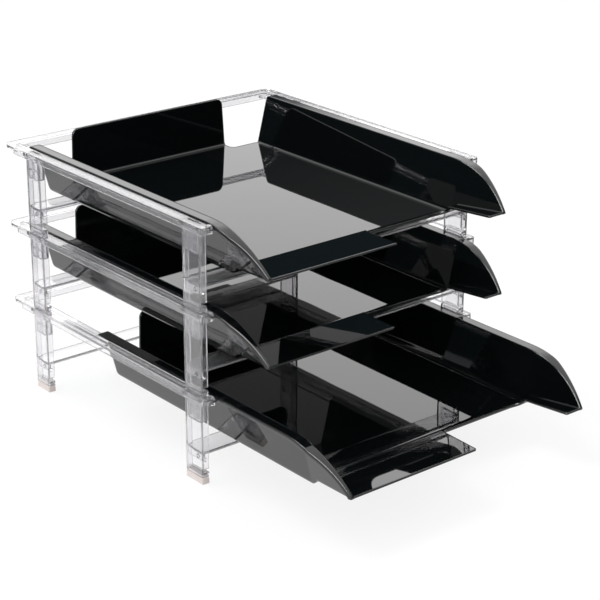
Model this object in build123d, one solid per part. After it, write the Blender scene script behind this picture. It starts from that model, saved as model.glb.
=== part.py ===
from build123d import *
import math
import os

# A stack of three clear plastic tiers, each with a black letter tray that slides out to the front.
# Millimetres. X is right as seen from the front, Y is back, Z is up. Each piece is drawn as it sits in
# the lowest tier: z = 0 is the surface the feet stand on, x = 0 the middle of the stand and y = 0 the
# front ends of the rails. The last part of the file lifts the pieces to their tiers and sets the whole
# stack on the centre of its own footprint, with the lowest tray pulled out.

# --- the stack ----------------------------------------------------------------------------------------
tier_names = ["bottom", "middle", "top"]
tier_pitch = 75.5           # height from one tier to the next
foot_height = 6.3           # the legs stand on the feet at this height
tray_travel = 110.0         # how far a tray slides before its stops meet
tray_pulled_out = 102.4     # how far the bottom tray stands open
seat_gap = 0.3              # between a piece and the face that carries it
fit_gap = 0.3               # all round a tongue, a plug, a spigot or a stud
weld = 1.0                  # how far joined shapes run into each other
surface_tolerance = 0.02    # within which an edge is taken to lie on a line

# --- clear rail frame: two rails and the rear beam in one moulding ------------------------------------
rim_half_width = 154.6
rim_depth = 305.0
rim_plate = 2.0             # thickness of the flat top
rim_wall = 2.2              # thickness of the skirts below it
rim_corner_radius = 9.5
rail_band = 10.8            # width of the flat top along a rail
rail_end_radius = 3.0
skirt_depth = 6.1           # outer skirt of the rails, below the rim top
corner_skirt_depth = 3.0    # outer skirt round the rear corners and behind the beam
corner_skirt_length = 18.5  # how far the shallow skirt reaches forward of the rear face
beam_width = 10.5
beam_web_depth = 7.3
ledge_width = 8.2           # inner strip that a tray slides on
ledge_drop = 2.3            # the strip lies this far below the rim top
ledge_plate = 2.0
ledge_setback = 1.0         # the strip starts this far behind the rail's front end
ledge_lead_in = (11.5, 1.0)   # slope on the strip's front end, below the brow: along, down
end_nub = (4.0, 5.0, 0.8)   # raised nub at a rail's front end: across, along, high
end_nub_radius = 1.5
stop_block = (3.6, 3.0, 1.0)  # stop on the ledge: across, along, high
stop_setback = 9.0          # the stop starts this far behind the rail's front end
stop_rib = 2.0              # thickness of the rib under a tray's flange that meets it

# --- clear legs: open channels with the web outside ---------------------------------------------------
leg_to_skirt = 0.75         # side gap between a leg and the skirt that hides its top
leg_depth = 6.9             # across, from web to open side
leg_wall = 2.0
leg_edge_radius = 1.0
front_leg = (8.1, 23.7)     # start behind the rail front end, and width
rear_leg = (249.9, 21.0)
leg_floor_plate = 2.0
leg_floor_height = 2.2      # of the plate that closes the channel, above the leg's lower end
leg_slot = (5.2, 3.2)       # slot in the front flange just above that plate: across, high
tongue_wall = 1.7
tongue_reach = 6.8          # below the plate
tongue_corner_radius = 2.0
socket_wall = 1.15
socket_length = 21.0        # of the spigot that the leg slides over, below the ledge's underside
socket_floor = 1.5
socket_corner_radius = 3.0
socket_rib = 1.4            # ribs between the windows of a spigot
socket_rib_height = 9.0     # middle of the level rib, above the spigot's lower end
socket_window_radius = 0.8

# --- feet ---------------------------------------------------------------------------------------------
foot_floor = 1.2
foot_edge_radius = 0.85

# --- clear crossbars ----------------------------------------------------------------------------------
bar_plate = 2.5
bar_front_top = 30.4        # heights of the top face: front edge, trough, rear edge
bar_trough_top = 30.0
bar_rear_top = 31.6
bar_trough_place = 0.55     # of the bar's width, from its front edge
bar_edge_radius = 0.8
bar_end_wall = 1.5
bar_end_radius = 1.5
bar_end_depth = 8.0         # of the end wall, below the trough
bar_stud_radius = 1.5       # snaps through the leg's web
bar_stud_place = 6.5        # behind the leg's front face
bar_peg_radius = 1.1        # snaps through the leg's front flange
bar_peg_height = 22.7
bar_stud_height = 25.4

# --- black tray ---------------------------------------------------------------------------------------
tray_depth = 48.1           # flange top down to the underside of the floor
tray_floor = 2.5
tray_wall = 2.2
wall_lean = 14.9            # degrees off the vertical
wall_to_ledge = 0.9         # side gap where the wall passes the ledge
flange_to_rail = 0.7        # side gap between the flange and the rail's step
flange_plate = 2.2
flange_edge = 1.6           # thickness of the turned-down edge
flange_edge_depth = 3.4
flange_edge_radius = 0.6    # along the outer top edge
wall_base_radius = 3.5
wall_seam = 10.5            # a side wall's moulding runs this far in over the floor
flange_rear = 278.5         # all tray distances are for a closed tray, from the rail front ends
flange_rear_radius = 3.0
wall_rear = 278.0
wall_rear_radius = 6.0
floor_rear = 278.0
floor_rear_radius = 6.0
panel_base_half_width = 89.3  # the rear panel's sides lean in towards its top
panel_half_width = 87.0     # at its top
panel_foot_radius = 5.0
panel_base = 290.6          # front face of the rear panel at the floor
panel_lean = 1.5
panel_wall = 2.2
panel_height = 47.4         # above the floor
panel_base_radius = 3.0
panel_corner_radius = 6.5
tray_front = -57.6
brow_start = 12.5           # the flange curves down in front of here
lip_height = 15.4           # lip's top edge above the underside of the floor
corner_flare = 4.6          # the walls run outward by this much from the rail ends to the front
corner_overhang = 0.6       # of the flange beyond the wall, at the front corners
flange_bend = -15.0         # the flange's outer edge turns inward in front of here
flange_bend_radius = 40.0
rise_start = 8.5            # the floor curves up in front of here
rise_radius = 17.5          # of the upper face of that curve
rise_angle = 53.1
rise_to_lip_radius = 3.0
rise_inner_radius = 0.5     # where the rise meets the lip below
lip_slope = 5.2             # degrees, rising to the front
lip_plate = 1.8
lip_nose_radius = 0.7
cut_back = 1.5              # finger cut-out: its rear edge
cut_left_front = 4.6        # x of its left side at the tray's front
cut_left_rear = 14.5
cut_right = 113.0
cut_left_radius = 18.0
cut_right_radius = 9.0
lip_corner_radius = 2.5

# --- places that follow from the sizes above ----------------------------------------------------------
rim_top = tier_pitch + foot_height
rail_step = rim_half_width - rail_band
ledge_inner = rail_step - ledge_width
ledge_top = rim_top - ledge_drop
ledge_bottom = ledge_top - ledge_plate
beam_inner = rim_depth - beam_width
leg_outer = rim_half_width - rim_wall - leg_to_skirt
leg_inner = leg_outer - leg_depth
leg_web = leg_outer - leg_wall
leg_bottom = foot_height + seat_gap
leg_top = ledge_bottom - seat_gap
leg_plate_bottom = leg_bottom + leg_floor_height
tongue_bottom = leg_plate_bottom - tongue_reach
socket_outer = leg_web - fit_gap
tongue_outer = socket_outer - socket_wall - fit_gap
tongue_inner = tongue_outer - tongue_wall
flange_outer = rail_step - flange_to_rail
flange_top = ledge_top + seat_gap + flange_edge_depth
floor_bottom = flange_top - tray_depth
floor_top = floor_bottom + tray_floor
wall_slope = math.tan(math.radians(wall_lean))
wall_inset = tray_wall / math.cos(math.radians(wall_lean))
lip_top = floor_bottom + lip_height
brow_run = brow_start - tray_front
brow_fall = flange_top - lip_top
brow_radius = (brow_run ** 2 + brow_fall ** 2) / (2 * brow_fall)
panel_top = floor_top + panel_height
far = 400.0                 # longer than any piece, for cutting tools


def span_x(face, start, end):
    """A side-view (y, z) outline pushed from x = start to x = end."""
    return extrude(Plane.YZ.offset(start) * face, amount=end - start)


def span_y(face, start, end):
    """A front-view (x, z) outline pushed from y = start to y = end."""
    return extrude(Plane.XZ.offset(-start) * face, amount=start - end)


def span_z(face, start, end):
    """A plan-view (x, y) outline pushed from z = start to z = end."""
    return extrude(Plane.XY.offset(start) * face, amount=end - start)


def outline(*corners):
    """A closed flat outline through (u, v) or (u, v, corner radius) points."""
    face = make_face(Polyline(*[corner[:2] for corner in corners], close=True))
    for corner in corners:
        if len(corner) > 2:
            vertex = face.vertices().sort_by_distance(Vector(corner[0], corner[1], 0))[0]
            face = fillet(vertex, corner[2])
    return face


def rectangle(u0, v0, u1, v1, radius=0.0):
    """A rectangle between two corners, with all four corners rounded alike."""
    face = outline((u0, v0), (u1, v0), (u1, v1), (u0, v1))
    return fillet(face.vertices(), radius) if radius > 0 else face


def both_sides(piece):
    """The right-hand piece and its mirror image."""
    return piece + mirror(piece, about=Plane.YZ)


# --- clear pieces -------------------------------------------------------------------------------------
def socket_spigot(start, width):
    """The ribbed hollow spigot under the right-hand rail that a leg slides over."""
    front = start + leg_wall + fit_gap
    back = start + width - leg_wall - fit_gap
    bottom = ledge_bottom - socket_length
    body_outline = outline(
        (front, bottom, socket_corner_radius),
        (back, bottom, socket_corner_radius),
        (back, ledge_bottom + seat_gap),
        (front, ledge_bottom + seat_gap),
    )
    spigot = span_x(body_outline, leg_inner, socket_outer)
    rib_z = bottom + socket_rib_height
    rib_y = (front + back) / 2
    half_rib = socket_rib / 2
    for y0, y1 in ((front + socket_rib, rib_y - half_rib), (rib_y + half_rib, back - socket_rib)):
        for z0, z1 in ((bottom + socket_floor, rib_z - half_rib), (rib_z + half_rib, ledge_bottom - socket_rib)):
            window = rectangle(y0, z0, y1, z1, socket_window_radius)
            spigot -= span_x(window, socket_outer - socket_wall, socket_outer)
    return spigot


def socket_cavity(start, width):
    """The slot that runs down through the rim into the spigot, for the tongue of the leg above."""
    front = start + leg_wall + fit_gap + socket_wall
    back = start + width - leg_wall - fit_gap - socket_wall
    bottom = ledge_bottom - socket_length + socket_floor
    inner = tongue_inner - fit_gap
    return span_z(rectangle(inner, front, tongue_outer + fit_gap, back), bottom, rim_top + seat_gap)


def rail_frame():
    """Both rails and the rear beam: a flat rim with skirts, tray ledges, stops and four spigots."""
    outer = outline(
        (-rim_half_width, 0, rail_end_radius),
        (rim_half_width, 0, rail_end_radius),
        (rim_half_width, rim_depth, rim_corner_radius),
        (-rim_half_width, rim_depth, rim_corner_radius),
    )
    inside_half = rim_half_width - rim_wall
    skirt_inside = outline(
        (-inside_half, rim_wall),
        (inside_half, rim_wall),
        (inside_half, rim_depth - rim_wall, rim_corner_radius - rim_wall),
        (-inside_half, rim_depth - rim_wall, rim_corner_radius - rim_wall),
    )
    opening = rectangle(-rail_step, -rim_wall, rail_step, beam_inner)
    step_half = rail_step + rim_wall
    skirt = span_z(outer - skirt_inside - opening, rim_top - skirt_depth, rim_top)
    shallow = rectangle(-far, rim_depth - corner_skirt_length, far, far)
    skirt -= span_z(shallow, rim_top - skirt_depth, rim_top - corner_skirt_depth)
    frame = span_z(outer - opening, rim_top - rim_plate, rim_top) + skirt
    web = rectangle(-step_half, beam_inner, step_half, beam_inner + rim_wall)
    frame += span_z(web, rim_top - beam_web_depth, rim_top)
    ledge = rectangle(ledge_inner, ledge_setback, step_half, beam_inner + rim_wall)
    riser = rectangle(rail_step, weld, step_half, beam_inner + rim_wall)
    lead_along, lead_down = ledge_lead_in
    lead_in = outline((ledge_setback, ledge_top - lead_down), (ledge_setback + lead_along, ledge_top),
                      (ledge_setback, ledge_top))
    side = span_z(ledge, ledge_bottom, ledge_top) - span_x(lead_in, ledge_inner, rail_step)
    side += span_z(riser, ledge_bottom, rim_top)
    nub_across, nub_along, nub_high = end_nub
    nub = rectangle(rail_step, 0, rail_step + nub_across, nub_along, end_nub_radius)
    side += span_z(nub, rim_top - rim_plate, rim_top + nub_high)
    stop_across, stop_along, stop_high = stop_block
    stop_middle = (ledge_inner + flange_outer - flange_edge) / 2
    stop = rectangle(stop_middle - stop_across / 2, stop_setback, stop_middle + stop_across / 2,
                     stop_setback + stop_along)
    side += span_z(stop, ledge_bottom, ledge_top + stop_high)
    for start, width in (front_leg, rear_leg):
        pad = rectangle(rail_step, start - weld, inside_half + weld, start + width + weld)
        side += span_z(pad, ledge_bottom, rim_top) + socket_spigot(start, width)
        side -= socket_cavity(start, width)
    frame += both_sides(side)
    for start, width in (front_leg, rear_leg):
        frame -= both_sides(socket_cavity(start, width))
    return frame


def leg(start, width):
    """A right-hand leg: an open channel closed by a plate at its foot, with a tongue below."""
    back = start + width
    channel = outline(
        (leg_inner, start), (leg_outer, start, leg_edge_radius),
        (leg_outer, back, leg_edge_radius), (leg_inner, back),
    )
    channel -= rectangle(leg_inner - leg_wall, start + leg_wall, leg_web, back - leg_wall)
    post = span_z(channel, leg_bottom, leg_top)
    plate = rectangle(leg_inner, start + weld, leg_web + weld, back - weld)
    post += span_z(plate, leg_plate_bottom, leg_plate_bottom + leg_floor_plate)
    inset = leg_wall + fit_gap + socket_wall + fit_gap
    tongue = outline(
        (start + inset, tongue_bottom, tongue_corner_radius),
        (back - inset, tongue_bottom, tongue_corner_radius),
        (back - inset, leg_plate_bottom + leg_floor_plate), (start + inset, leg_plate_bottom + leg_floor_plate),
    )
    post += span_x(tongue, tongue_inner, tongue_outer)
    slot_across, slot_high = leg_slot
    slot_bottom = leg_plate_bottom + leg_floor_plate
    slot = rectangle(leg_inner - weld, slot_bottom, leg_inner + slot_across, slot_bottom + slot_high)
    post -= span_y(slot, start - weld, start + leg_wall)
    post -= bar_studs(start, fit_gap)
    return post


def bar_studs(start, grow):
    """The two round snap studs at the right-hand end of a crossbar, or the holes they fill."""
    stud = Plane.YZ.offset(leg_web - fit_gap - bar_end_wall / 2) * Pos(start + bar_stud_place, bar_stud_height)
    through_web = extrude(stud * Circle(bar_stud_radius + grow), amount=leg_wall + fit_gap + bar_end_wall / 2)
    peg_x = leg_web - fit_gap - bar_peg_radius
    peg_start = Plane.XZ.offset(-start) * Pos(peg_x, bar_peg_height)
    through_flange = extrude(peg_start * Circle(bar_peg_radius + grow), amount=-(leg_wall + fit_gap + weld))
    return through_web + through_flange


def crossbar(start, width):
    """The shallow S-curved bar between two legs, with an end wall and studs inside each leg."""
    back = start + width
    trough = start + bar_trough_place * width

    def curve(drop):
        return ThreePointArc((start, bar_front_top - drop), (trough, bar_trough_top - drop),
                             (back, bar_rear_top - drop))
    upper = curve(0)
    lower = curve(bar_plate)
    ends = [Line(upper @ 0, lower @ 0), Line(upper @ 1, lower @ 1)]
    profile = make_face(Wire([upper, lower] + ends))
    profile = fillet(profile.vertices(), bar_edge_radius)
    plate_half = leg_inner - fit_gap
    plate = span_x(profile, -plate_half, plate_half)
    inside_front = start + leg_wall + fit_gap
    inside_back = back - leg_wall - fit_gap
    end_face = leg_web - fit_gap
    tab = span_x(profile, 0, end_face) & span_z(rectangle(0, inside_front, far, inside_back), 0, far)
    wall = rectangle(inside_front, bar_trough_top - bar_end_depth, inside_back, bar_trough_top - bar_plate / 2,
                     bar_end_radius)
    end_wall = span_x(wall, end_face - bar_end_wall, end_face)
    return plate + both_sides(tab + end_wall + bar_studs(start, 0))


def foot(start, width):
    """A right-hand foot: a block flush with the leg, and a plug with a slot for the leg's tongue."""
    back = start + width
    block_outline = outline(
        (leg_inner, start), (leg_outer, start, leg_edge_radius),
        (leg_outer, back, leg_edge_radius), (leg_inner, back),
    )
    block = span_z(block_outline, 0, foot_height)
    block = fillet(block.edges().group_by(Axis.Z)[0], foot_edge_radius)
    inset = leg_wall + fit_gap
    plug = rectangle(leg_inner, start + inset, leg_web - fit_gap, back - inset)
    block += span_z(plug, foot_height / 2, leg_plate_bottom - fit_gap)
    slot = rectangle(tongue_inner - fit_gap, start + inset + socket_wall, tongue_outer + fit_gap,
                     back - inset - socket_wall)
    return block - span_z(slot, foot_floor, leg_plate_bottom)


# --- black tray ---------------------------------------------------------------------------------------
def wall_outer(z):
    """x of the right wall's outer face at height z."""
    return ledge_inner - wall_to_ledge - (ledge_top - z) * wall_slope


def under_brow(drop):
    """Side view of all that lies under the flange's top line, or under a line this far below it.
    The line runs level along the tray and then curves down to the lip's front corner."""
    level = Line((flange_rear, flange_top - drop), (brow_start, flange_top - drop))
    curve = CenterArc((brow_start, flange_top - brow_radius), brow_radius - drop, 90, 90)
    tip = (brow_start - brow_radius + drop, flange_top - brow_radius)
    down = Polyline(tip, (tip[0], -far), (flange_rear, -far), (flange_rear, flange_top - drop))
    return make_face(level.edges() + curve.edges() + down.edges())


def floor_lines():
    """Side view of the floor's upper and lower line as corner points: lip, rise, floor, rear panel."""
    rise = math.radians(rise_angle)
    slope = math.tan(math.radians(lip_slope))
    lean = math.tan(math.radians(panel_lean))

    def line(floor_z, lip_z, radius, behind):
        foot_y = rise_start - radius * math.tan(rise / 2)
        reach = (lip_z - slope * (foot_y - tray_front) - floor_z) / (math.sin(rise) - slope * math.cos(rise))
        base_y = panel_base + behind + (floor_z - floor_top) * lean
        return [
            (tray_front, lip_z), (foot_y - reach * math.cos(rise), floor_z + reach * math.sin(rise)),
            (foot_y, floor_z), (base_y, floor_z), (panel_base + behind + panel_height * lean, panel_top),
        ]
    upper = line(floor_top, lip_top, rise_radius, 0)
    lower = line(floor_bottom, lip_top - lip_plate, rise_radius + tray_floor, panel_wall)
    return upper, lower


def floor_profile():
    """Side view of the lip, the rise, the floor and the rear panel as one bent plate."""
    upper, lower = floor_lines()
    upper_line = FilletPolyline(*upper, radius=[rise_to_lip_radius, rise_radius, panel_base_radius])
    lower_radii = [rise_inner_radius, rise_radius + tray_floor, panel_base_radius + panel_wall]
    lower_line = FilletPolyline(*lower, radius=lower_radii)
    ends = Line(upper[0], lower[0]).edges() + Line(upper[-1], lower[-1]).edges()
    face = make_face(upper_line.edges() + lower_line.edges() + ends)
    return fillet(face.vertices().group_by(Axis.X)[0], lip_nose_radius)


def side_profile():
    """Side view of a side wall: under the brow, above the floor's lower line, rounded at the rear."""
    lower = floor_lines()[1]
    above = outline(
        lower[0], (*lower[1], rise_inner_radius), (*lower[2], rise_radius + tray_floor),
        (wall_rear, floor_bottom, wall_rear_radius), (flange_rear, flange_top, flange_rear_radius),
        (tray_front, flange_top),
    )
    return under_brow(0) & above


def plan_outline():
    """Plan of the floor: cut-out at the front, notched corners and the panel's tongue at the rear."""
    rear_side = wall_outer(floor_bottom)
    front_side = wall_outer(lip_top) + corner_flare + corner_overhang
    return outline(
        (-front_side, tray_front), (cut_left_front, tray_front, lip_corner_radius),
        (cut_left_rear, cut_back, cut_left_radius), (cut_right, cut_back, cut_right_radius),
        (cut_right, tray_front, lip_corner_radius), (front_side, tray_front),
        (rear_side, floor_rear, floor_rear_radius), (panel_base_half_width, floor_rear, panel_foot_radius),
        (panel_base_half_width, far), (-panel_base_half_width, far),
        (-panel_base_half_width, floor_rear, panel_foot_radius),
        (-rear_side, floor_rear, floor_rear_radius),
    )


def panel_outline():
    """Front view of the rear panel: leaning sides and rounded top corners."""
    return outline(
        (-panel_base_half_width, 0), (panel_base_half_width, 0),
        (panel_base_half_width, floor_bottom),
        (panel_half_width, panel_top, panel_corner_radius),
        (-panel_half_width, panel_top, panel_corner_radius),
        (-panel_base_half_width, floor_bottom),
    )


def trough(inset, bottom, radius):
    """The space between the leaning walls, inset from their outer faces and open at the top. In front
    of the rail ends it widens towards the tray's front."""
    top = flange_top + flange_plate
    low, high = wall_outer(bottom) - inset, wall_outer(top) - inset

    def section(widen):
        return outline((-low - widen, bottom, radius), (low + widen, bottom, radius),
                       (high + widen, top), (-high - widen, top))
    flared = loft([Plane.XZ * section(0), Plane.XZ.offset(-tray_front) * section(corner_flare)], ruled=True)
    return span_y(section(0), 0, far) + flared


def flange_plan(inset):
    """Plan of the right half of the tray inside the flange's outer edge, or inside a line inset from
    it. The edge runs along the rail and turns inward to the front corner."""
    front_side = wall_outer(lip_top) + corner_flare + corner_overhang
    return outline(
        (0, tray_front), (front_side - inset, tray_front),
        (flange_outer - inset, flange_bend, flange_bend_radius), (flange_outer - inset, far), (0, far),
    )


def flange():
    """The right-hand flange: a plate with a turned-down edge that follows the brow down to the lip.
    It starts at the middle of the tray, and the hollow between the walls is cut from it."""
    bottom = lip_top - flange_edge_depth
    plate = span_x(under_brow(0) - under_brow(flange_plate), 0, far)
    plate &= span_z(flange_plan(0), bottom, flange_top)
    edge = span_x(under_brow(0) - under_brow(flange_edge_depth), 0, far)
    edge &= span_z(flange_plan(0) - flange_plan(flange_edge), bottom, flange_top)
    return plate + edge


def stop():
    """The rib under the right-hand flange that meets the ledge's stop when the tray is right out."""
    y = stop_setback + stop_block[1] + seat_gap + tray_travel
    z = flange_top - flange_edge_depth
    rib = rectangle(wall_outer(z) - wall_inset / 2, y, flange_outer - flange_edge / 2, y + stop_rib)
    return span_z(rib, z, flange_top - flange_plate / 2)


def brow_height(y):
    """Height of the flange's top line at y."""
    ahead = max(brow_start - y, 0.0)
    return flange_top - brow_radius + math.sqrt(brow_radius ** 2 - ahead ** 2)


def round_outer_edge(piece):
    """The tray with the outer top edge of each flange rounded, from its front corner to its rear."""
    def on_outer_edge(edge):
        middle = edge @ 0.5
        flare = corner_flare * max(middle.Y / tray_front, 0.0)
        inner = wall_outer(middle.Z) - wall_inset + flare
        on_brow = abs(middle.Z - brow_height(middle.Y)) < surface_tolerance
        lengthwise = abs((edge % 0.5).X) < 0.5
        return on_brow and lengthwise and abs(middle.X) > inner + surface_tolerance
    return fillet(piece.edges().filter_by(on_outer_edge), flange_edge_radius)


def tray():
    """A closed tray with its front cut-out, curved brows, flanges and leaning rear panel."""
    body = trough(0, floor_bottom, wall_base_radius + tray_wall)
    hollow = trough(wall_inset, floor_top, wall_base_radius)
    side = span_x(side_profile(), 0, far)
    seam = wall_outer(floor_bottom) - wall_seam
    wall = (body - hollow) & side & span_x(under_brow(flange_plate / 2), seam, far)
    wall &= span_z(flange_plan(0), 0, far)
    floor = span_x(floor_profile(), -far, far) & span_z(plan_outline(), 0, far) & body
    beside_panel = rectangle(-far, 0, far, far) - panel_outline()
    floor -= span_y(beside_panel, floor_rear + panel_foot_radius, far)
    return round_outer_edge(floor + both_sides(wall + ((flange() - hollow) & side) + stop()))


# --- the stack ----------------------------------------------------------------------------------------
footprint_middle = (tray_front - tray_pulled_out + rim_depth) / 2


def build():
    """Every piece of the stack by its name."""
    pieces = {}
    frame = rail_frame()
    closed_tray = tray()
    fronts = {"front": front_leg, "rear": rear_leg}
    legs = {end: leg(*place) for end, place in fronts.items()}
    bars = {end: crossbar(*place) for end, place in fronts.items()}
    for level, tier in enumerate(tier_names):
        lift = Pos(0, -footprint_middle, level * tier_pitch)
        pulled = tray_pulled_out if level == 0 else 0.0
        pieces[tier + "_rail_frame"] = lift * frame
        pieces[tier + "_tray"] = lift * Pos(0, -pulled, 0) * closed_tray
        for end in fronts:
            pieces[f"{tier}_leg_{end}_right"] = lift * legs[end]
            pieces[f"{tier}_leg_{end}_left"] = lift * mirror(legs[end], about=Plane.YZ)
            pieces[f"{tier}_{end}_crossbar"] = lift * bars[end]
    for end, place in fronts.items():
        block = foot(*place)
        stand = Pos(0, -footprint_middle, 0)
        pieces[f"foot_{end}_right"] = stand * block
        pieces[f"foot_{end}_left"] = stand * mirror(block, about=Plane.YZ)
    return pieces


os.makedirs("parts", exist_ok=True)
for name, piece in build().items():
    export_step(piece, f"parts/{name}.step")
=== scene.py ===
# %% [markdown]
# # A clear stacking stand with three black letter trays
# The shapes come from the CAD frame, in metres: +X is right, +Y is back, +Z is up, and the feet stand
# on z = 0. This script gives them their plastics, a floor, light and a camera. The real stand is
# polystyrene in two finishes, so most of the work is in how a clear and a black gloss surface pick up
# the studio round them.

# %% Load the frame
import math

import bpy
from mathutils import Matrix, Vector

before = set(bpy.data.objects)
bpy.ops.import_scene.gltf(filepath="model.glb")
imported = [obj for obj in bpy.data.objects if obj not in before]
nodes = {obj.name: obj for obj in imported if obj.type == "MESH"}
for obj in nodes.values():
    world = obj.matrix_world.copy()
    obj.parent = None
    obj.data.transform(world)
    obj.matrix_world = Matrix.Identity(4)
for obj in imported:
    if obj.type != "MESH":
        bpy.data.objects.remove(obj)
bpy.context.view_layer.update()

# %% [markdown]
# ## The camera
# The stack was photographed with a long lens, from its left front and from above. The three edges that
# leave a corner of a tray fix that view: where they meet far away gives the direction and the lens, and
# the known height of a tier gives the distance. A camera looks along its own -Z, so it is first tipped
# up from straight down, then turned round the vertical, and last rolled about its own axis.

# %% Camera
camera_place = Vector((-0.9645, -1.1752, 0.7152))
camera_bearing, camera_depression = 39.59, 21.66    # degrees to the right of +Y, and down
camera_turn = math.radians(-camera_bearing)
camera_tip = math.radians(90 - camera_depression)
camera_roll = math.radians(0.28)
lens_mm = 109.13
sensor_mm = 36.0

camera_data = bpy.data.cameras.new("studio_camera")
camera_data.lens = lens_mm
camera_data.sensor_width = sensor_mm
camera = bpy.data.objects.new("studio_camera", camera_data)
bpy.context.scene.collection.objects.link(camera)
turned = Matrix.Rotation(camera_turn, 4, "Z") @ Matrix.Rotation(camera_tip, 4, "X")
camera.matrix_world = Matrix.Translation(camera_place) @ turned @ Matrix.Rotation(camera_roll, 4, "Z")
bpy.context.scene.camera = camera
print("camera", [round(v, 3) for v in camera.location], "lens", lens_mm)

# %% [markdown]
# ## Colours and nodes
# Colours are written as they are read from a screen, in sRGB hex. Blender's shaders count in linear
# light, so one function turns them. A second small function adds a node with its properties and
# inputs, and an input is either a plain value or the output of an earlier node. With it a material is
# short enough to read as a recipe.

# %% Helpers for materials
def linear(hex_colour, alpha=1.0):
    """An sRGB hex colour as the linear values that a shader socket takes."""
    channels = [int(hex_colour[i:i + 2], 16) / 255 for i in (1, 3, 5)]
    return (*[c / 12.92 if c <= 0.04045 else ((c + 0.055) / 1.055) ** 2.4 for c in channels], alpha)


def add(tree, kind, inputs=None, **properties):
    """Adds a node; each input, by name or number, takes an output socket or a plain value."""
    node = tree.nodes.new(kind)
    for name, value in properties.items():
        setattr(node, name, value)
    for name, value in (inputs or {}).items():
        if isinstance(value, bpy.types.NodeSocket):
            tree.links.new(value, node.inputs[name])
        else:
            node.inputs[name].default_value = value
    return node


def new_material(name):
    """An empty node material and its tree."""
    material = bpy.data.materials.new(name)
    material.use_nodes = True
    material.node_tree.nodes.clear()
    return material, material.node_tree


print("helpers ready")

# %% [markdown]
# ## What the black plastic's surface is like
# The trays are injection moulded in a polished steel mould, so they take the mould's mirror finish. On
# so dark a plastic nearly all the light that is seen is reflected, and what tells it from lacquer is
# that the surface isn't quite flat: it sinks by a few hundredths of a millimetre over some centimetres
# as it cools, so that reflected edges wander. Fine handling marks make the gloss a little uneven. A
# painted map could hold both, but noise needs no map and is as fine as one looks: a wide one bends the
# surface, and a finer one, a few millimetres across, varies the roughness.

# %% Marks in the black plastic
sink_mark_width, sink_mark_depth = 0.045, 0.0004    # metres; the bump shows a tenth of the depth
handling_mark_width = 0.006
gloss_low, gloss_high = 0.012, 0.03

black_plastic, tree = new_material("black_polystyrene_injection_moulded_gloss")
place = add(tree, "ShaderNodeTexCoord").outputs["Object"]
sink_marks = add(
    tree, "ShaderNodeTexNoise",
    {"Vector": place, "Scale": 1 / sink_mark_width, "Detail": 1.0, "Roughness": 0.4},
).outputs["Fac"]
handling_marks = add(
    tree, "ShaderNodeTexNoise",
    {"Vector": place, "Scale": 1 / handling_mark_width, "Detail": 4.0, "Roughness": 0.6},
).outputs["Fac"]
print("sink marks", 1000 * sink_mark_width, "mm wide, handling marks", 1000 * handling_mark_width, "mm")

# %% [markdown]
# ## Black gloss polystyrene
# A moulding has no sharp edges, and on gloss a rounded edge is a thin line of light. A Bevel modifier
# would cut such edges, but these meshes are split at their edges and it does nothing there, so a Bevel
# node turns the normal near each edge as a 2 mm rounding would. Crystal polystyrene bends light by
# 1.59, more than most plastics, and that makes its mirror images stronger too.

# %% Black gloss polystyrene
polystyrene_ior = 1.59
tray_edge_rounding = 0.002

gloss = add(
    tree, "ShaderNodeMapRange", {"Value": handling_marks, "To Min": gloss_low, "To Max": gloss_high},
).outputs["Result"]
eased = add(tree, "ShaderNodeBevel", {"Radius": tray_edge_rounding}, samples=8).outputs["Normal"]
bent = add(
    tree, "ShaderNodeBump",
    {"Height": sink_marks, "Normal": eased, "Strength": 0.1, "Distance": sink_mark_depth},
).outputs["Normal"]
tint = add(
    tree, "ShaderNodeMix", {"Factor": handling_marks, "A": linear("#060809"), "B": linear("#090c0d")},
    data_type="RGBA",
).outputs["Result"]
shader = add(
    tree, "ShaderNodeBsdfPrincipled",
    {"Base Color": tint, "Roughness": gloss, "Normal": bent, "IOR": polystyrene_ior},
).outputs["BSDF"]
add(tree, "ShaderNodeOutputMaterial", {"Surface": shader})
print("material", black_plastic.name)

# %% [markdown]
# ## Clear polystyrene
# The stand is crystal polystyrene, the clear and brittle kind, whose high index makes its edges
# sparkle. It's modelled as solid glass-like matter that absorbs a little light, so that a look along a
# wall is darker than a look through it. In front of something black it looks milky, as its surface is
# worn by fine scratches, so a twenty-fifth of the light is scattered and not let through. The melt
# leaves faint waves about 20 mm long, and the edges are rounded by half as much as the trays'.

# %% The clear plastic's surface
flow_wave_length, flow_wave_depth = 0.02, 0.0003
stand_edge_rounding = 0.001
share_let_through = 0.96

clear_plastic, tree = new_material("clear_polystyrene_injection_moulded")
place = add(tree, "ShaderNodeTexCoord").outputs["Object"]
flow = add(
    tree, "ShaderNodeTexNoise",
    {"Vector": place, "Scale": 1 / flow_wave_length, "Detail": 2.0, "Roughness": 0.5},
).outputs["Fac"]
eased = add(tree, "ShaderNodeBevel", {"Radius": stand_edge_rounding}, samples=4).outputs["Normal"]
waves = add(
    tree, "ShaderNodeBump",
    {"Height": flow, "Normal": eased, "Strength": 0.1, "Distance": flow_wave_depth},
).outputs["Normal"]
glass = add(
    tree, "ShaderNodeBsdfPrincipled",
    {"Normal": waves, "Base Color": linear("#f9f8fa"), "Roughness": 0.01, "IOR": polystyrene_ior,
     "Transmission Weight": share_let_through},
).outputs["BSDF"]
print("clear plastic lets through", share_let_through)

# %% [markdown]
# ## Light through the clear plastic
# Light that falls through the stand on its way to the floor would be traced as slow and speckled
# caustics. So a shadow ray passes straight through, and is dimmed as much as two surfaces would dim it.
# The grey that builds up inside belongs to the volume and not to the surface, because it grows with
# the way that the light goes through the plastic.

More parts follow.
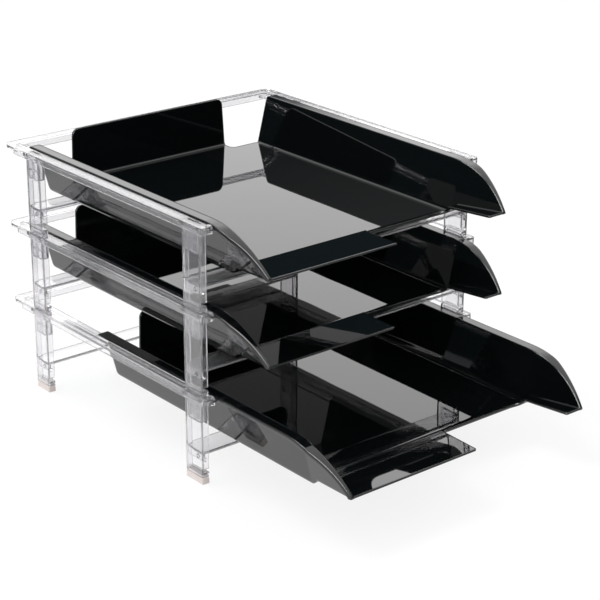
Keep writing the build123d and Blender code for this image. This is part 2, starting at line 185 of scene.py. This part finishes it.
# %% Clear polystyrene
let_through = add(tree, "ShaderNodeBsdfTransparent", {"Color": linear("#e6eaeb")}).outputs["BSDF"]
shadow_ray = add(tree, "ShaderNodeLightPath").outputs["Is Shadow Ray"]
surface = add(tree, "ShaderNodeMixShader", {0: shadow_ray, 1: glass, 2: let_through}).outputs["Shader"]
inside = add(
    tree, "ShaderNodeVolumeAbsorption", {"Color": (0.2, 0.18, 0.2, 1.0), "Density": 18.0},
).outputs["Volume"]
add(tree, "ShaderNodeOutputMaterial", {"Surface": surface, "Volume": inside})
print("material", clear_plastic.name)

# %% [markdown]
# ## The soft plastic of the feet
# The feet are a soft thermoplastic rubber with a satin, slightly pink beige surface that keeps the
# stand from sliding. Its mould is blasted, so it scatters light: a fine noise bumps it and varies its
# roughness. Real blasting grit leaves pits of 0.1 to 0.2 mm, which are lost in a picture of this size,
# so they are drawn 0.6 mm wide.

# %% Foot plastic
grit_width, grit_depth = 0.0006, 0.00005

foot_plastic, tree = new_material("thermoplastic_rubber_moulded_satin")
place = add(tree, "ShaderNodeTexCoord").outputs["Object"]
grit = add(
    tree, "ShaderNodeTexNoise", {"Vector": place, "Scale": 1 / grit_width, "Detail": 2.0},
).outputs["Fac"]
satin = add(
    tree, "ShaderNodeMapRange", {"Value": grit, "To Min": 0.35, "To Max": 0.55},
).outputs["Result"]
grain = add(
    tree, "ShaderNodeBump", {"Height": grit, "Strength": 0.3, "Distance": grit_depth},
).outputs["Normal"]
shader = add(
    tree, "ShaderNodeBsdfPrincipled",
    {"Roughness": satin, "Normal": grain, "Base Color": linear("#d2c8c5"), "IOR": 1.5},
).outputs["BSDF"]
add(tree, "ShaderNodeOutputMaterial", {"Surface": shader})
print("material", foot_plastic.name)

# %% [markdown]
# ## Which piece is which plastic
# The names of the CAD pieces say it: the three trays are black, the four feet soft, and everything else
# is the clear stand. A rule on the name is shorter than a list and can't forget a leg.

# %% Give every node its plastic
plastic_of = {"tray": black_plastic, "foot": foot_plastic}
for name, node in nodes.items():
    kind = "tray" if name.endswith("_tray") else name.split("_")[0]
    node.data.materials.clear()
    node.data.materials.append(plastic_of.get(kind, clear_plastic))
print("dressed", len(nodes), "nodes")

# %% [markdown]
# ## The table
# The stack stands on a round table of matt white paper, wide enough that its edge is far behind the
# stack. One flat disc does for that, as the camera never sees the table's thickness.

# %% Table
floor_radius = 2.4
bpy.ops.object.select_all(action="DESELECT")
bpy.ops.mesh.primitive_circle_add(
    vertices=96, radius=floor_radius, fill_type="NGON", location=(0, 0, 0),
)
floor = bpy.context.object
floor.name = "studio_floor"
print("floor", 2 * floor_radius, "m wide")

# %% [markdown]
# ## Where the paper looks white
# In the photo the upper ends of the legs mirror something grey half a metre to their side, where a roll
# of paper would end. So mirrors and the clear plastic see a white lane that runs away from the camera,
# and grey paper beside it, while the camera sees white paper everywhere. The distance from the lane's
# middle line is the part of a place that lies along a line across it.

# %% Lane of white paper
rear_bearing = 39.6           # degrees from +Y towards +X, the way that the camera looks
lane_half_width = 0.50
lane_edge = 0.06
rear_angle = math.radians(rear_bearing)

floor_paint, tree = new_material("floor_paper_matt_white")
place = add(tree, "ShaderNodeTexCoord").outputs["Object"]
across = (-math.cos(rear_angle), math.sin(rear_angle), 0)
sideways = add(
    tree, "ShaderNodeVectorMath", {0: place, 1: across}, operation="DOT_PRODUCT",
).outputs["Value"]
from_middle = add(tree, "ShaderNodeMath", {0: sideways}, operation="ABSOLUTE").outputs["Value"]
beside_lane = add(
    tree, "ShaderNodeMapRange",
    {"Value": from_middle, "From Min": lane_half_width, "From Max": lane_half_width + lane_edge},
).outputs["Result"]
print("white lane", 2 * lane_half_width, "m wide")

# %% [markdown]
# ## Paper
# Paper under plain studio light looks a little grey. The photo's background is white, and more light
# would bleach the stack with it, so the paper is shown partly as pure white, and the rest of it still
# takes the soft shadow of the stack.

# %% Floor
pure_white_share = 0.85

path = add(tree, "ShaderNodeLightPath").outputs
mirrored = add(
    tree, "ShaderNodeMath", {0: path["Is Glossy Ray"], 1: path["Is Transmission Ray"]},
    operation="MAXIMUM",
).outputs["Value"]
seen = add(
    tree, "ShaderNodeMath", {0: path["Is Camera Ray"], 1: mirrored}, operation="MAXIMUM",
).outputs["Value"]
grey = add(
    tree, "ShaderNodeMath", {0: mirrored, 1: beside_lane}, operation="MULTIPLY",
).outputs["Value"]
white = add(tree, "ShaderNodeMath", {0: seen, 1: grey}, operation="SUBTRACT").outputs["Value"]
share = add(
    tree, "ShaderNodeMath", {0: white, 1: pure_white_share}, operation="MULTIPLY",
).outputs["Value"]
colour = add(
    tree, "ShaderNodeMix", {"Factor": grey, "A": linear("#f8f8f8"), "B": linear("#888a8c")},
    data_type="RGBA",
).outputs["Result"]
paper = add(
    tree, "ShaderNodeBsdfPrincipled",
    {"Base Color": colour, "Roughness": 0.9, "Specular IOR Level": 0.0},
).outputs["BSDF"]
pure_white = add(
    tree, "ShaderNodeEmission", {"Color": linear("#ffffff"), "Strength": 1.0},
).outputs["Emission"]
mixed = add(tree, "ShaderNodeMixShader", {0: share, 1: paper, 2: pure_white}).outputs["Shader"]
add(tree, "ShaderNodeOutputMaterial", {"Surface": mixed})
floor.data.materials.append(floor_paint)
print("material", floor_paint.name)

# %% [markdown]
# ## Key lamp
# One square softbox high at the left rear gives the feet and the floor their shade and draws the faint
# shadow at the stack's front right. It could be a sun, whose shadow is hard, or a small lamp, but only
# a wide one near by makes a shadow as soft as in the photo. The camera doesn't see it. Places round the
# stack are given as a photographer would, by bearing, elevation and distance.

# %% Key lamp
def round_the_stack(bearing, elevation, distance):
    """A place seen from the stack's middle at that bearing from +Y towards +X, in degrees."""
    b, e = math.radians(bearing), math.radians(elevation)
    return Vector((math.sin(b) * math.cos(e), math.cos(b) * math.cos(e), math.sin(e))) * distance


stack_middle = Vector((0, 0, 0.12))
softbox_side = 0.9
softbox_radiance = 9.0        # radiance 1 looks white in a mirror
softbox_place = round_the_stack(-45, 66, 2.2) + stack_middle

softbox_data = bpy.data.lights.new("key_softbox", "AREA")
softbox_data.shape = "RECTANGLE"
softbox_data.size = softbox_side
softbox_data.size_y = softbox_side
softbox_data.energy = softbox_radiance * math.pi * softbox_side ** 2
softbox = bpy.data.objects.new("key_softbox", softbox_data)
bpy.context.scene.collection.objects.link(softbox)
towards_stack = (stack_middle - softbox_place).to_track_quat("-Z", "Y").to_matrix().to_4x4()
softbox.matrix_world = Matrix.Translation(softbox_place) @ towards_stack
softbox.visible_camera = False
print("key softbox", round(softbox_data.energy, 1), "W")

# %% [markdown]
# ## The room in the mirrors
# Gloss shows the room more than the lamp, and each flat surface mirrors one small part of it, which
# follows from the camera's angle. The level black surfaces mirror what is behind the stack, 17 to 27
# degrees above the table, and are bright in the photo. The lips tip back by five degrees and mirror the
# strip just below, and the upright walls mirror the horizon, and both are black. So the room is a dark
# one with a bright wall behind the stack from 15 degrees up, a grey ceiling, which gives the clear
# plastic its soft edges, and a lamp at the front left that only rounded edges catch. It could be built
# from lamps, but they would light the matt surfaces too, so it is drawn in the world's colour. That
# needs three measures of a direction: its height, how far it points to the rear, and how near it
# comes to the edge lamp.

# %% Measures of a direction
edge_lamp_bearing, edge_lamp_elevation = -105, 34

world = bpy.data.worlds.new("studio")
bpy.context.scene.world = world
world.use_nodes = True
tree = world.node_tree
tree.nodes.clear()
direction = add(tree, "ShaderNodeTexCoord").outputs["Generated"]
height = add(tree, "ShaderNodeSeparateXYZ", {"Vector": direction}).outputs["Z"]
level = add(
    tree, "ShaderNodeVectorMath", {0: direction, 1: (1, 1, 0)}, operation="MULTIPLY",
).outputs["Vector"]
bearing = add(tree, "ShaderNodeVectorMath", {0: level}, operation="NORMALIZE").outputs["Vector"]
rear = (math.sin(rear_angle), math.cos(rear_angle), 0)
towards_rear = add(
    tree, "ShaderNodeVectorMath", {0: bearing, 1: rear}, operation="DOT_PRODUCT",
).outputs["Value"]
lamp = round_the_stack(edge_lamp_bearing, edge_lamp_elevation, 1.0)
near_lamp = add(
    tree, "ShaderNodeVectorMath", {0: direction, 1: lamp}, operation="DOT_PRODUCT",
).outputs["Value"]
print("edge lamp at", [round(v, 2) for v in lamp])

# %% [markdown]
# ## How bright each part of the room is
# Each part is a ramp on one of the measures: nothing before its start, and the full light from its end
# on. The short ramps are the soft edges of the real lamps. The wall's light ends at its head, so that
# ramp is taken off the first, and what is left counts only behind the stack.

# %% Parts of the room
parts = {
    # part: measure, start, end, radiance
    "behind": (towards_rear, 0.45, 0.6, 1.0),
    "wall_foot": (height, 0.262, 0.28, 2.0),
    "wall_head": (height, 0.55, 0.65, 2.0),
    "ceiling": (height, 0.52, 0.66, 1.25),
    "edge_lamp": (near_lamp, math.cos(math.radians(26)), math.cos(math.radians(23)), 10.0),
}
light = {}
for name, (measure, start, end, radiance) in parts.items():
    ramp = add(
        tree, "ShaderNodeMapRange",
        {"Value": measure, "From Min": start, "From Max": end, "To Max": radiance},
    )
    light[name] = ramp.outputs["Result"]
wall = add(
    tree, "ShaderNodeMath", {0: light["wall_foot"], 1: light["wall_head"]}, operation="SUBTRACT",
).outputs["Value"]
brightness = add(
    tree, "ShaderNodeMath", {0: wall, 1: light["behind"]}, operation="MULTIPLY",
).outputs["Value"]
for name in ("ceiling", "edge_lamp"):
    brightness = add(
        tree, "ShaderNodeMath", {0: brightness, 1: light[name]}, operation="ADD",
    ).outputs["Value"]
print("parts of the room:", ", ".join(parts))

# %% [markdown]
# ## World
# The dark of the room is slightly green, as the black trays are in the photo. The Light Path node shows
# this room to mirrors and to the clear plastic alone. The camera sees a white background, and matt
# surfaces are lit as by a plain white room.

# %% World
room = add(
    tree, "ShaderNodeMix", {"Factor": brightness, "A": (0.018, 0.027, 0.030, 1), "B": (1, 1, 1, 1)},
    data_type="RGBA", clamp_factor=False,
).outputs["Result"]
path = add(tree, "ShaderNodeLightPath").outputs
mirrored = add(
    tree, "ShaderNodeMath", {0: path["Is Glossy Ray"], 1: path["Is Transmission Ray"]},
    operation="MAXIMUM",
).outputs["Value"]
colour = add(
    tree, "ShaderNodeMix", {"Factor": mirrored, "A": linear("#ffffff"), "B": room}, data_type="RGBA",
).outputs["Result"]
sky = add(tree, "ShaderNodeBackground", {"Color": colour, "Strength": 1.0}).outputs["Background"]
add(tree, "ShaderNodeOutputWorld", {"Surface": sky})
bpy.context.scene.view_settings.view_transform = "Standard"
print("world", world.name)
